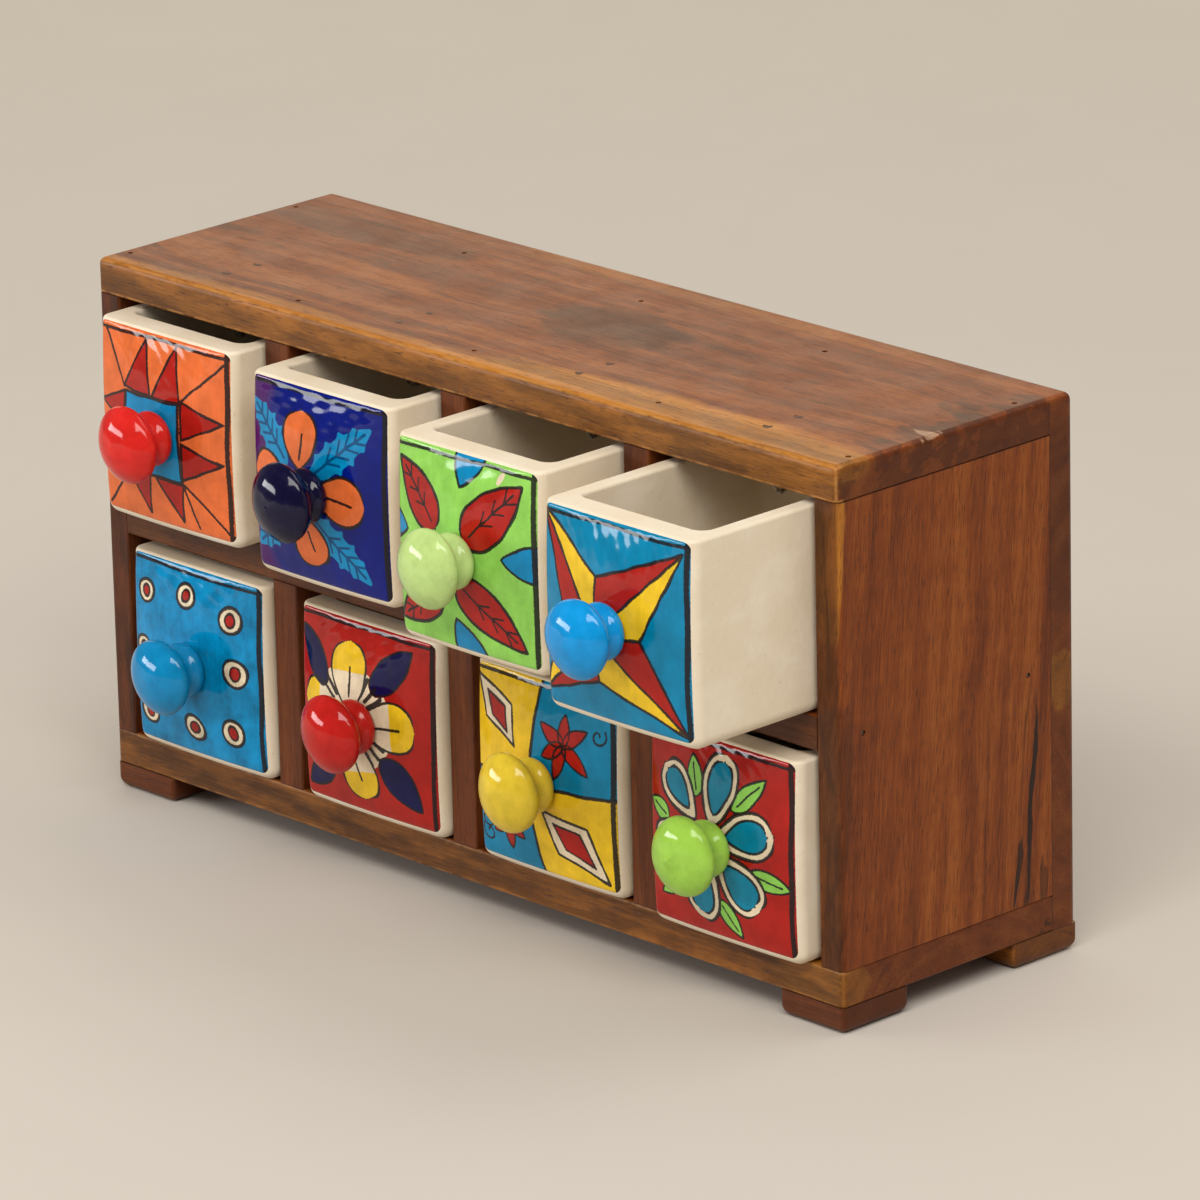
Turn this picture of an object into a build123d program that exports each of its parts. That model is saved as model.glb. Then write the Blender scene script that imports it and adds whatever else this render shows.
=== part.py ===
"""Tabletop chest of drawers: a nailed wooden carcass with eight glazed ceramic drawers.

Millimetres, +Z up, front towards -Y. The origin is at floor level, under the middle of the
chest with its drawers drawn out as far as they stand at rest.
"""
import os
from math import acos, atan2, cos, hypot, sin, sqrt

from build123d import *

# Wooden carcass
chest_width = 330.0
chest_depth = 102.0
board_thickness = 11.5
side_thickness = 9.5
back_thickness = 11.0
shelf_thickness = 11.0
divider_thickness = 11.0
cell_height = 68.0
cells_across = 4
outer_round = 2.2
back_round = 3.2
inner_round = 0.7

# Block feet, flush with the corners of the bottom board
foot_width = 27.0
foot_depth = 28.0
foot_height = 8.7
foot_round = 3.5
foot_edge_round = 1.6

# Ceramic drawers
drawer_side_gap = 2.9
drawer_head_gap = 2.5
running_gap = 0.3
rear_gap = 0.4
face_proud = 3.0
face_bulge = 5.0
side_wall = 5.6
front_wall = 9.5
rear_wall = 5.6
floor_wall = 6.0
body_round = 4.0
cavity_round = 4.0
cavity_floor_round = 2.8
rim_round = 1.2
drawn_share = ((0.15822, 0.28444, 0.52444, 0.80), (0.00356, 0.01067, 0.00533, 0.06222))
drawer_shift = ((1.0, 0.6, 0.8, 1.2), (2.2, 2.4, 2.2, 1.1))

# Mushroom knobs
knob_length = 19.0
knob_head_radius = 12.5
knob_dome_radius = 16.5
knob_edge_radius = 2.6
knob_neck_curve = 3.2
knob_foot_radius = 8.9
knob_bead_radius = 2.6
knob_recess_radius = 5.0
knob_recess_depth = 0.6
knob_bore_depth = 11.0

# Stud, washer and nut that hold each knob
stud_radius = 2.0
stud_clearance = 0.1
front_hole_clearance = 0.6
stud_tail = 2.0
stud_chamfer = 0.5
washer_radius = 6.0
washer_thickness = 0.9
nut_across_flats = 7.0
nut_thickness = 3.2

# Bent wire stops over the drawers
stop_wire_radius = 0.75
stop_setback = 21.5
stop_spread = 13.0
stop_drop = 10.5
stop_bend_radius = 2.5
stop_set = 0.4

# Headless brads that nail the boards together
brad_radius = 0.8
brad_length = 27.0
brad_set = 0.6
brad_inset = 10.0
drive_clearance = 0.1
hole_overrun = 2.0

# Places that follow from the sizes
cell_depth = chest_depth - back_thickness
inner_width = chest_width - 2 * side_thickness
cell_width = (inner_width - (cells_across - 1) * divider_thickness) / cells_across
cell_pitch = cell_width + divider_thickness
lower_floor = foot_height + board_thickness
lower_ceiling = lower_floor + cell_height
upper_floor = lower_ceiling + shelf_thickness
upper_ceiling = upper_floor + cell_height
chest_height = upper_ceiling + board_thickness
drawer_width = cell_width - 2 * drawer_side_gap
drawer_height = cell_height - running_gap - drawer_head_gap
drawer_length = cell_depth - rear_gap + face_proud
drawer_run = cell_depth - rear_gap - rear_wall - stop_setback - stop_spread / 2 - stop_wire_radius
open_at_rest = [[share * drawer_run for share in row] for row in drawn_share]
knob_seat_x = 1 - 2 * (knob_recess_radius / drawer_width) ** 2
knob_seat_z = 1 - 2 * (knob_recess_radius / drawer_height) ** 2
knob_seat = face_bulge * knob_seat_x * knob_seat_z
front_reach = max(max(row) for row in open_at_rest) + face_proud + knob_seat + knob_length
front_y = (front_reach - chest_depth) / 2
back_y = front_y + chest_depth
panel_y = front_y + cell_depth
half_width = chest_width / 2
cell_centres = [(i - (cells_across - 1) / 2) * cell_pitch for i in range(cells_across)]
divider_centres = [(i - cells_across / 2) * cell_pitch for i in range(1, cells_across)]
side_centres = [side * (half_width - side_thickness / 2) for side in (-1, 1)]


def block(x, y, z):
    """A block between two X, two Y and two Z values."""
    size = Box(x[1] - x[0], y[1] - y[0], z[1] - z[0], align=(Align.MIN, Align.MIN, Align.MIN))
    return Pos(x[0], y[0], z[0]) * size


def rod(start, direction, length, radius):
    """A round rod from a start point along a direction."""
    return Plane(origin=start, z_dir=direction) * extrude(Circle(radius), length)


# Headless brads and the holes that they are driven into
def driven(start, direction):
    """One brad, set below the surface at the start point, and its hole, open at the surface."""
    inward = Vector(*direction)
    surface = Vector(*start)
    brad = rod(surface + inward * brad_set, direction, brad_length, brad_radius)
    mouth = surface - inward * hole_overrun
    depth = hole_overrun + brad_set + brad_length + drive_clearance
    return brad, rod(mouth, direction, depth, brad_radius + drive_clearance)


upright_centres = side_centres + divider_centres
brads_in_depth = (front_y + brad_inset, panel_y - brad_inset)
shelf_middle = lower_ceiling + shelf_thickness / 2
board_middles = (foot_height + board_thickness / 2, shelf_middle, upper_ceiling + board_thickness / 2)
nailing = [driven((x, y, chest_height), (0, 0, -1)) for x in upright_centres for y in brads_in_depth]
nailing += [driven((x, y, foot_height), (0, 0, 1)) for x in upright_centres for y in brads_in_depth]
nailing += [driven((x, back_y, z), (0, -1, 0)) for x in cell_centres for z in board_middles]
for side in (-1, 1):
    nailing += [driven((side * half_width, y, shelf_middle), (-side, 0, 0)) for y in brads_in_depth]
brads = [brad for brad, hole in nailing]
brad_holes = [hole for brad, hole in nailing]


# Bent wire stops: a narrow V with a round tip, its two legs driven up into the board above
def wire_stop(x, ceiling, thickness, radius, top):
    """A V of wire under a ceiling; its legs end at height top above the underside of the board."""
    half_spread = stop_spread / 2
    bend_z = stop_bend_radius - stop_drop
    rise = thickness - bend_z
    lean = acos(stop_bend_radius / hypot(half_spread, rise)) - atan2(rise, half_spread)
    touch = Vector(stop_bend_radius * cos(lean), bend_z - stop_bend_radius * sin(lean))
    leg_end = Vector(touch.X + (top - touch.Y) * sin(lean) / cos(lean), top)
    side_view = Plane(origin=(x, front_y + stop_setback, ceiling), x_dir=(0, 1, 0), z_dir=(1, 0, 0))
    path = Line((-leg_end.X, leg_end.Y), (-touch.X, touch.Y))
    path += ThreePointArc((-touch.X, touch.Y), (0, -stop_drop), (touch.X, touch.Y))
    path += Line((touch.X, touch.Y), (leg_end.X, leg_end.Y))
    path = side_view * path
    section = Plane(origin=path @ 0, z_dir=path % 0) * Circle(radius)
    return sweep(section, path=path)


stop_boards = ((upper_ceiling, board_thickness), (lower_ceiling, shelf_thickness))
stops = []
stop_holes = []
for ceiling, thickness in stop_boards:
    for x in cell_centres:
        stops.append(wire_stop(x, ceiling, thickness, stop_wire_radius, thickness - stop_set))
        hole_radius = stop_wire_radius + drive_clearance
        stop_holes.append(wire_stop(x, ceiling, thickness, hole_radius, thickness + hole_overrun))


# Boards of the carcass
def top_board():
    """Top board over the sides, rounded along its three free edges and front corners."""
    board = block((-half_width, half_width), (front_y, panel_y), (upper_ceiling, chest_height))
    corners = board.edges().filter_by(Axis.Z).sort_by(Axis.Y)[:2]
    board = fillet(corners, outer_round)
    rim = board.faces().sort_by(Axis.Z)[-1].edges().sort_by(Axis.Y)[:-1]
    board = fillet(rim, outer_round)
    front = board.faces().sort_by(Axis.Z)[0].edges().sort_by(Axis.Y)[0]
    return fillet(front, inner_round)


def bottom_board():
    """Bottom board under the sides, its front corners rounded and its front edges eased."""
    board = block((-half_width, half_width), (front_y, panel_y), (foot_height, lower_floor))
    corners = board.edges().filter_by(Axis.Z).sort_by(Axis.Y)[:2]
    board = fillet(corners, outer_round)
    level_faces = board.faces().filter_by(Axis.Z)
    return fillet([face.edges().sort_by(Axis.Y)[0] for face in level_faces], inner_round)


def side_panel(side):
    """Side panel between the two boards; its outer front edge is rounded."""
    inner = side * (half_width - side_thickness)
    panel = block(sorted((inner, side * half_width)), (front_y, panel_y), (lower_floor, upper_ceiling))
    front = panel.edges().filter_by(Axis.Z).sort_by(Axis.Y)[:2].sort_by(Axis.X)
    panel = fillet(front[-1] if side > 0 else front[0], outer_round)
    inner_edges = panel.faces().filter_by(Axis.X).sort_by(lambda f: abs(f.center().X))[0].edges()
    return fillet(inner_edges.filter_by(Axis.Z).sort_by(Axis.Y)[0], inner_round)


def back_panel():
    """Back panel behind top, sides and bottom, rounded all round its rear face."""
    panel = block((-half_width, half_width), (panel_y, back_y), (foot_height, chest_height))
    panel = fillet(panel.edges().filter_by(Axis.Y).sort_by(Axis.Z)[-2:], outer_round)
    return fillet(panel.faces().sort_by(Axis.Y)[-1].edges(), back_round)


def middle_shelf():
    """Shelf between the sides, its two front edges eased."""
    half = half_width - side_thickness
    shelf = block((-half, half), (front_y, panel_y), (lower_ceiling, upper_floor))
    return fillet(shelf.faces().sort_by(Axis.Y)[0].edges().filter_by(Axis.X), inner_round)


def divider(x, z):
    """Upright partition between two cells, its two front edges eased."""
    half = divider_thickness / 2
    panel = block((x - half, x + half), (front_y, panel_y), z)
    return fillet(panel.faces().sort_by(Axis.Y)[0].edges().filter_by(Axis.Z), inner_round)


def foot(side, end):
    """Block foot in one corner, its lower edges worn round."""
    x = sorted((side * half_width, side * (half_width - foot_width)))
    y = (front_y, front_y + foot_depth) if end < 0 else (back_y - foot_depth, back_y)
    shape = block(x, y, (0, foot_height))
    shape = fillet(shape.edges().filter_by(Axis.Z), foot_edge_round)
    return fillet(shape.faces().sort_by(Axis.Z)[0].edges(), foot_round)


carcass = {
    "bottom_board": bottom_board(),
    "left_side": side_panel(-1),
    "right_side": side_panel(1),
    "middle_shelf": middle_shelf(),
}
for number, x in enumerate(divider_centres, 1):
    carcass[f"upper_divider_{number}"] = divider(x, (upper_floor, upper_ceiling))
    carcass[f"lower_divider_{number}"] = divider(x, (lower_floor, lower_ceiling))
carcass["top_board"] = top_board()
carcass["back_panel"] = back_panel()
holes = Compound([solid for hole in brad_holes + stop_holes for solid in hole.solids()])
nodes = {name: shape - holes for name, shape in carcass.items()}
for end, end_name in ((-1, "front"), (1, "rear")):
    for side, side_name in ((-1, "left"), (1, "right")):
        nodes[f"{end_name}_{side_name}_foot"] = foot(side, end)
nodes["drawer_stops"] = Compound([solid for stop in stops for solid in stop.solids()])
nodes["panel_brads"] = Compound([solid for brad in brads for solid in brad.solids()])


# One drawer about the middle of its face: the rim of the face lies at y = 0 and looks along -Y
def pillow():
    """Crowned face: straight along its four edges, bulging as a parabola across and up."""
    across = (-drawer_width / 2, 0, drawer_width / 2)
    upward = (-drawer_height / 2, 0, drawer_height / 2)
    # The middle control point of a quadratic patch pulls its centre out by a quarter of its own height
    pull = ((0, 0, 0), (0, -4 * face_bulge, 0), (0, 0, 0))
    return Face.make_bezier_surface(
        [[Vector(x, pull[i][j], z) for j, z in enumerate(upward)] for i, x in enumerate(across)]
    )


def drawer_box():
    """Ceramic tray with a crowned front, rounded outside and in, open at the top."""
    top = drawer_height / 2
    body = extrude(pillow(), drawer_length + face_bulge, dir=(0, 1, 0))
    body = body & block(
        (-drawer_width, drawer_width), (-2 * face_bulge, drawer_length), (-drawer_height, drawer_height)
    )
    body = fillet([e for e in body.edges() if e.center().Z < top - body_round / 2], body_round)
    inside_width = drawer_width - 2 * side_wall
    cavity = block(
        (-inside_width / 2, inside_width / 2),
        (front_wall, drawer_length - rear_wall),
        (floor_wall - top, top + hole_overrun),
    )
    cavity = fillet(cavity.edges().filter_by(Axis.Z), cavity_round)
    cavity = fillet(cavity.faces().sort_by(Axis.Z)[0].edges(), cavity_floor_round)
    body = body - cavity
    body = fillet(body.faces().sort_by(Axis.Z)[-1].edges(), rim_round)
    hole_length = front_wall + face_bulge + 2 * hole_overrun
    hole_start = (0, -face_bulge - hole_overrun, 0)
    return body - rod(hole_start, (0, 1, 0), hole_length, stud_radius + front_hole_clearance)


def knob():
    """Mushroom knob turned about its stud: domed head, waist and a beaded foot with a recess."""
    dome_z = knob_length - knob_dome_radius
    dome_reach = knob_dome_radius - knob_edge_radius
    edge_r = knob_head_radius - knob_edge_radius
    edge = Vector(edge_r, dome_z + sqrt(dome_reach ** 2 - edge_r ** 2))
    bead = Vector(knob_foot_radius - knob_bead_radius, knob_bead_radius)
    # The waist arc touches the head's edge arc and the foot's bead
    span = edge - bead
    from_bead = knob_bead_radius + knob_neck_curve
    from_edge = knob_edge_radius + knob_neck_curve
    along = (span.length ** 2 + from_bead ** 2 - from_edge ** 2) / (2 * span.length)
    aside = sqrt(from_bead ** 2 - along ** 2)
    line = span.normalized()
    waist = bead + line * along + Vector(line.Y, -line.X) * aside
    shoulder = Vector(0, dome_z) + (edge - Vector(0, dome_z)) * (knob_dome_radius / dome_reach)
    under = edge + (waist - edge) * (knob_edge_radius / from_edge)
    ankle = bead + (waist - bead) * (knob_bead_radius / from_bead)
    tilt = atan2(shoulder.X, shoulder.Y - dome_z) / 2
    mid_dome = (knob_dome_radius * sin(tilt), dome_z + knob_dome_radius * cos(tilt))
    bore = stud_radius + stud_clearance
    profile = make_face([
        ThreePointArc((0, knob_length), mid_dome, shoulder),
        ThreePointArc(shoulder, (knob_head_radius, edge.Y), under),
        ThreePointArc(under, waist - Vector(knob_neck_curve, 0), ankle),
        ThreePointArc(ankle, (knob_foot_radius, bead.Y), (bead.X, 0)),
        Polyline(
            (bead.X, 0),
            (knob_recess_radius, 0),
            (knob_recess_radius, knob_recess_depth),
            (bore, knob_recess_depth),
            (bore, knob_bore_depth),
            (0, knob_bore_depth),
            (0, knob_length),
        ),
    ])
    turned = revolve(Plane.XZ * profile, Axis.Z)
    return Pos(0, -knob_seat, 0) * Rot(90, 0, 0) * turned


def stud():
    """Steel stud from the bottom of the knob's bore to just past the nut."""
    start = -knob_seat - knob_bore_depth
    length = front_wall + washer_thickness + nut_thickness + stud_tail - start
    shaft = rod((0, start, 0), (0, 1, 0), length, stud_radius)
    return chamfer(shaft.faces().sort_by(Axis.Y)[-1].edges(), stud_chamfer)


def washer():
    """Flat washer against the inside of the drawer front."""
    ring = Circle(washer_radius) - Circle(stud_radius + stud_clearance)
    return Plane(origin=(0, front_wall, 0), z_dir=(0, 1, 0)) * extrude(ring, washer_thickness)


def nut():
    """Hexagon nut on the washer."""
    flats = RegularPolygon(nut_across_flats / 2, 6, major_radius=False)
    hexagon = flats - Circle(stud_radius + stud_clearance)
    seat = Plane(origin=(0, front_wall + washer_thickness, 0), z_dir=(0, 1, 0))
    return seat * extrude(hexagon, nut_thickness)


# Eight drawers, numbered from the upper left, each drawn out as far as it stands at rest
drawer_pieces = {"box": drawer_box(), "knob": knob(), "stud": stud(), "washer": washer(), "nut": nut()}
for row, floor in enumerate((upper_floor, lower_floor)):
    for column, x in enumerate(cell_centres):
        number = row * cells_across + column + 1
        place = Pos(
            x + drawer_shift[row][column],
            front_y - face_proud - open_at_rest[row][column],
            floor + running_gap + drawer_height / 2,
        )
        for piece, shape in drawer_pieces.items():
            nodes[f"drawer_{number}_{piece}"] = place * shape

os.makedirs("parts", exist_ok=True)
for name, shape in nodes.items():
    export_step(shape, f"parts/{name}.step")
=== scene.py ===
"""Looks of a tabletop chest: a varnished rosewood carcass and eight hand-painted ceramic drawers."""
import bpy
import numpy as np
from mathutils import Matrix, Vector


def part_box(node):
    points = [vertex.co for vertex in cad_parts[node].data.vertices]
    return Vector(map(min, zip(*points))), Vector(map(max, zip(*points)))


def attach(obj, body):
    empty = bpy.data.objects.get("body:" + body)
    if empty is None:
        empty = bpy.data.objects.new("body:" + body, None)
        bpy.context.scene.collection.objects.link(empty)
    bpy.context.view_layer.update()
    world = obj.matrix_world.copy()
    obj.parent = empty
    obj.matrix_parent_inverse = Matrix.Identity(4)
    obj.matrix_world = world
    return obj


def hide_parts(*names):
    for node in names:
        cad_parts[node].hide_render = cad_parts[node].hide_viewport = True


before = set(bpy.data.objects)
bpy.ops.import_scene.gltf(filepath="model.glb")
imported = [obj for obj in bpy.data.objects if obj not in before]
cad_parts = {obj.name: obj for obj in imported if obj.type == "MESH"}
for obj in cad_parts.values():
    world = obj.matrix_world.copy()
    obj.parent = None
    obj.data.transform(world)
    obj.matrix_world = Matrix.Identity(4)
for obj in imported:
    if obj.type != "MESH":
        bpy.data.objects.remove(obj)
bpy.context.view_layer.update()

# Boards of the carcass: planed rosewood, butted, glued and nailed, then rubbed and varnished to a satin
# shine. The grain runs along each board, ring lines are near black and the sapwood shows gold.
mm = 0.001
wood_dark = (0.095, 0.018, 0.002)
wood_mid = (0.192, 0.041, 0.004)
wood_light = (0.290, 0.080, 0.011)
wood_line = (0.034, 0.008, 0.002)
# Pale colour along the front edges: partly wear, partly a painted highlight on the rounded edge.
wear_and_highlight_pale = (0.440, 0.200, 0.055)
sapwood = (0.370, 0.140, 0.015)
honey = (0.235, 0.085, 0.012)
golden_brown = (0.200, 0.072, 0.011)
dull_brown = (0.125, 0.036, 0.006)
deep_brown = (0.085, 0.026, 0.006)
heartwood = (0.070, 0.016, 0.003)
black_streak = (0.014, 0.007, 0.005)
scraped = (0.500, 0.310, 0.190)
ring_width = 6.5
ring_sway = 18.0
ring_stretch = 0.11
ring_weight = 0.28
streak_weight = 0.32
fibre_weight = 0.33
curl_weight = 0.07
dark_line_width = 2.3
patch_warp = np.array((46.0, 9.0, 9.0))
line_share = 0.50
pore_share = 0.50
front_share = 0.85
end_share = 0.55
seam_share = 0.6
varnish_rough = (0.39, 0.46)
varnish_specular = 0.26


class Finish:
    """A material as it is built up: each method adds one node and gives its output."""

    def __init__(self, name):
        self.material = bpy.data.materials.new(name)
        self.material.use_nodes = True
        self.tree = self.material.node_tree
        self.shader = self.tree.nodes["Principled BSDF"]

    def put(self, socket, value):
        """Links an output to a socket, or sets its value; a colour gets full alpha."""
        if isinstance(value, bpy.types.NodeSocket):
            self.tree.links.new(value, socket)
        elif socket.type == "RGBA":
            socket.default_value = (*value[:3], 1)
        else:
            socket.default_value = value

    def shade(self, **inputs):
        """Sets or links inputs of the surface shader, named in words joined by underscores."""
        sockets = {s.name.lower().replace(" ", "_"): s for s in self.shader.inputs}
        for name, value in inputs.items():
            self.put(sockets[name], value)

    def node(self, kind, inputs, output=0, **settings):
        """Any shader node with its settings, its inputs set or linked."""
        made = self.tree.nodes.new("ShaderNode" + kind)
        for name, value in settings.items():
            setattr(made, name, value)
        for name, value in inputs.items():
            self.put(made.inputs[name], value)
        return made.outputs[output]

    def maths(self, operation, *values):
        """Arithmetic on one, two or three numbers."""
        return self.node("Math", dict(enumerate(values)), operation=operation)

    def vectors(self, operation, *values):
        """Arithmetic on vectors; a length or a dot product gives a number."""
        output = int(operation in ("LENGTH", "DOT_PRODUCT"))
        return self.node("VectorMath", dict(enumerate(values)), output, operation=operation)

    def mix(self, share, first, second, blend="MIX"):
        """Second colour over the first one by a share from 0 to 1."""
        return self.node("Mix", {0: share, 6: first, 7: second}, 2, data_type="RGBA", blend_type=blend)

    def ease(self, value, start, end, low=0.0, high=1.0):
        """A smooth step from low to high as the value goes from start to end."""
        limits = {"Value": value, "From Min": start, "From Max": end, "To Min": low, "To Max": high}
        return self.node("MapRange", limits, interpolation_type="SMOOTHSTEP")

    def place(self):
        """Place on the object in millimetres."""
        return self.node("VectorMath", {0: self.node("TexCoord", {}, "Object"), "Scale": 1 / mm},
                         operation="SCALE")

    def noise(self, vector, size, shift=0.0, detail=2.0, rough=0.5, output=0):
        """Cloud noise whose lumps have one size, or one along each of three directions."""
        scale = tuple(1 / s for s in np.broadcast_to(size, 3))
        moved = self.node("Mapping", {"Vector": vector, "Location": (shift,) * 3, "Scale": scale})
        return self.node("TexNoise", {"Vector": moved, "Scale": 1.0, "Detail": detail, "Roughness": rough},
                         output)

    def bands(self, distance, size, shift, detail=2.0):
        """Noise along one distance: bands of uneven width."""
        along = self.maths("MULTIPLY_ADD", distance, 1 / size, shift)
        return self.node("TexNoise", {"W": along, "Scale": 1.0, "Detail": detail}, noise_dimensions="1D")

    def ramp(self, value, stops):
        """Colours blended by a value, from pairs of position and colour."""
        made = self.tree.nodes.new("ShaderNodeValToRGB")
        self.put(made.inputs[0], value)
        elements = made.color_ramp.elements
        while len(elements) < len(stops):
            elements.new(1.0)
        for element, (position, colour) in zip(elements, stops):
            element.position = position
            element.color = (*colour, 1)
        return made.outputs[0]

    def bump(self, height, depth, strength=1.0, under=None):
        """Shading normal of a relief with a height from 0 to 1 and a depth in millimetres."""
        inputs = {"Height": height, "Distance": depth * mm, "Strength": strength}
        if under is not None:
            inputs["Normal"] = under
        return self.node("Bump", inputs)


def dress(node, finish):
    """Gives a construction node its finish."""
    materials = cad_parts[node].data.materials
    materials.clear()
    materials.append(finish.material)


def box_mm(node):
    """Low and high corner of a construction node in millimetres."""
    return [np.array(corner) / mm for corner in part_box(node)]


def rosewood(node, grain, broad, pith, seed, patches=(), front=None, wear_and_highlight=0.0):
    """Finish of one board. Growth rings are shells about a pith line along the grain, swayed by noise and
    stretched so that they close into long arches. Patches are swayed ellipsoids of another colour, each
    (middle, half sizes along, across and through the board, colour, share). The front edge may have a
    colour of its own, and a pale line along it that is partly wear and partly a painted highlight."""
    low, high = box_mm(node)
    middle = (low + high) / 2
    along = np.array(grain) / np.linalg.norm(grain)
    through = np.array(broad) - np.dot(broad, along) * along
    through /= np.linalg.norm(through)
    axes = np.array((along, np.cross(through, along), through))
    finish = Finish(node + "_rosewood")
    place = finish.place()
    in_grain = finish.node("CombineXYZ", {
        i: finish.vectors("DOT_PRODUCT", place, tuple(axis)) for i, axis in enumerate(axes)
    })

    # Rings: distance from the pith, read through uneven bands
    sway = finish.noise(in_grain, (110, 34, 34), seed * 3.7, 2.0, 0.5, 1)
    pith_place = axes @ middle + pith + np.array((0, ring_sway / 2, ring_sway / 2))
    from_pith = finish.vectors("SUBTRACT", in_grain, tuple(pith_place))
    swayed = finish.vectors("MULTIPLY_ADD", sway, (0.0, ring_sway, ring_sway), from_pith)
    arched = finish.vectors("MULTIPLY", swayed, (ring_stretch, 1.0, 1.0))
    ring = finish.vectors("LENGTH", arched)
    rings = finish.bands(ring, ring_width, seed * 11.3, 3.0)
    lines = finish.ease(finish.bands(ring, dark_line_width, seed * 5.1 + 40, 1.0), 0.62, 0.72)
    broken = finish.noise(in_grain, (60, 9, 9), seed * 1.9 + 7, 2.0)
    lines = finish.maths("MULTIPLY", lines, finish.ease(broken, 0.44, 0.66))
    streaks = finish.noise(in_grain, (190, 7.5, 7.5), seed * 2.3, 3.0, 0.55)
    fibres = finish.noise(in_grain, (12, 0.55, 0.55), seed * 0.7, 3.0, 0.65)
    curl = finish.noise(in_grain, (4.0, 14, 14), seed * 1.3 + 3, 2.0)
    pores = finish.ease(finish.noise(in_grain, (5.0, 0.50, 0.50), seed * 4.1, 1.0), 0.60, 0.69)

    tone = finish.maths("MULTIPLY", streaks, streak_weight)
    tone = finish.maths("MULTIPLY_ADD", rings, ring_weight, tone)
    tone = finish.maths("MULTIPLY_ADD", fibres, fibre_weight, tone)
    tone = finish.maths("MULTIPLY_ADD", curl, curl_weight, tone)
    colour = finish.ramp(tone, ((0.39, wood_dark), (0.50, wood_mid), (0.61, wood_light)))
    shading = finish.ramp(tone, ((0.39, (0.55,) * 3), (0.61, (1.32,) * 3)))
    warp = finish.noise(in_grain, (30, 7, 7), seed * 0.9 + 11, 3.0, 0.55, 1)
    warped = finish.vectors("MULTIPLY_ADD", warp, tuple(patch_warp), in_grain)
    for spot, half, tint, share in patches:
        half = np.array(half)
        moved = axes @ np.array(spot) + patch_warp / 2
        inside = finish.node("Mapping", {"Vector": warped, "Location": tuple(-moved / half),
                                         "Scale": tuple(1 / half)})
        reach = finish.vectors("LENGTH", inside)
        shown = finish.maths("MULTIPLY", finish.ease(reach, 1.10, 0.84), share)
        colour = finish.mix(shown, colour, finish.mix(1.0, tint, shading, "MULTIPLY"))
    surface = finish.node("TexCoord", {}, "Normal")
    if front:
        ahead = finish.vectors("DOT_PRODUCT", surface, (0.0, -1.0, 0.0))
        uneven = finish.ease(finish.noise(in_grain, (30, 7, 7), seed + 21, 3.0, 0.6), 0.42, 0.60)
        edge_tint = finish.mix(uneven, front, tuple(0.5 * c for c in front))
        colour = finish.mix(finish.ease(ahead, 0.5, 0.95, 0.0, front_share), colour,
                            finish.mix(1.0, edge_tint, shading, "MULTIPLY"))
    colour = finish.mix(finish.maths("MULTIPLY", lines, line_share), colour, wood_line)
    colour = finish.mix(finish.maths("MULTIPLY", pores, pore_share), colour, wood_line)

    # End grain soaks up more varnish and comes out darker
    facing = finish.vectors("DOT_PRODUCT", surface, tuple(along))
    end = finish.ease(finish.maths("ABSOLUTE", facing), 0.65, 0.9, 0.0, end_share)
    colour = finish.mix(end, colour, heartwood)

    # Edges: the middle one of the three distances to the board's faces is the distance to an edge
    inward = finish.vectors("ABSOLUTE", finish.vectors("SUBTRACT", place, tuple(middle)))
    inward = finish.vectors("SUBTRACT", tuple((high - low) / 2), inward)
    x, y, z = (finish.node("SeparateXYZ", {0: inward}, i) for i in range(3))
    total, least, most = (finish.maths(kind, finish.maths(kind, x, y), z)
                          for kind in ("ADD", "MINIMUM", "MAXIMUM"))
    edge = finish.maths("SUBTRACT", finish.maths("SUBTRACT", total, least), most)
    # Pale line along the front edges: partly rubbed wear, partly a painted highlight on the rounded edge.
    if wear_and_highlight:
        patchy_pale_edge = finish.ease(finish.noise(place, 7, seed + 5, 4.0, 0.65), 0.36, 0.62)
        near_front = finish.ease(finish.node("SeparateXYZ", {0: place}, 1), low[1] + 4.0, low[1] + 2.5)
        worn_and_highlit = finish.maths("MULTIPLY", finish.ease(edge, 1.3, 0.6, 0.0, wear_and_highlight), patchy_pale_edge)
        colour = finish.mix(finish.maths("MULTIPLY", worn_and_highlit, near_front), colour, wear_and_highlight_pale)
    colour = finish.mix(finish.ease(edge, 0.26, 0.10, 0.0, seam_share), colour, black_streak)

    planed = finish.noise(in_grain, (60, 14, 14), seed + 9, 1.0)
    relief = finish.maths("MULTIPLY_ADD", fibres, 0.4, finish.maths("MULTIPLY", pores, -0.6))
    normal = finish.bump(planed, 0.2, 0.5)
    normal = finish.bump(relief, 0.09, 0.7, normal)
    gloss = finish.noise(place, 14, seed + 1, 3.0)
    finish.shade(base_color=colour, roughness=finish.ease(gloss, 0.3, 0.7, *varnish_rough),
                 specular_ior_level=varnish_specular, normal=normal)
    dress(node, finish)


along_x = facing_side = (1.0, 0.0, 0.0)
upright = facing_up = (0.0, 0.0, 1.0)
facing_back = (0.0, 1.0, 0.0)
leaning = (0.0, 0.09, 1.0)

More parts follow.
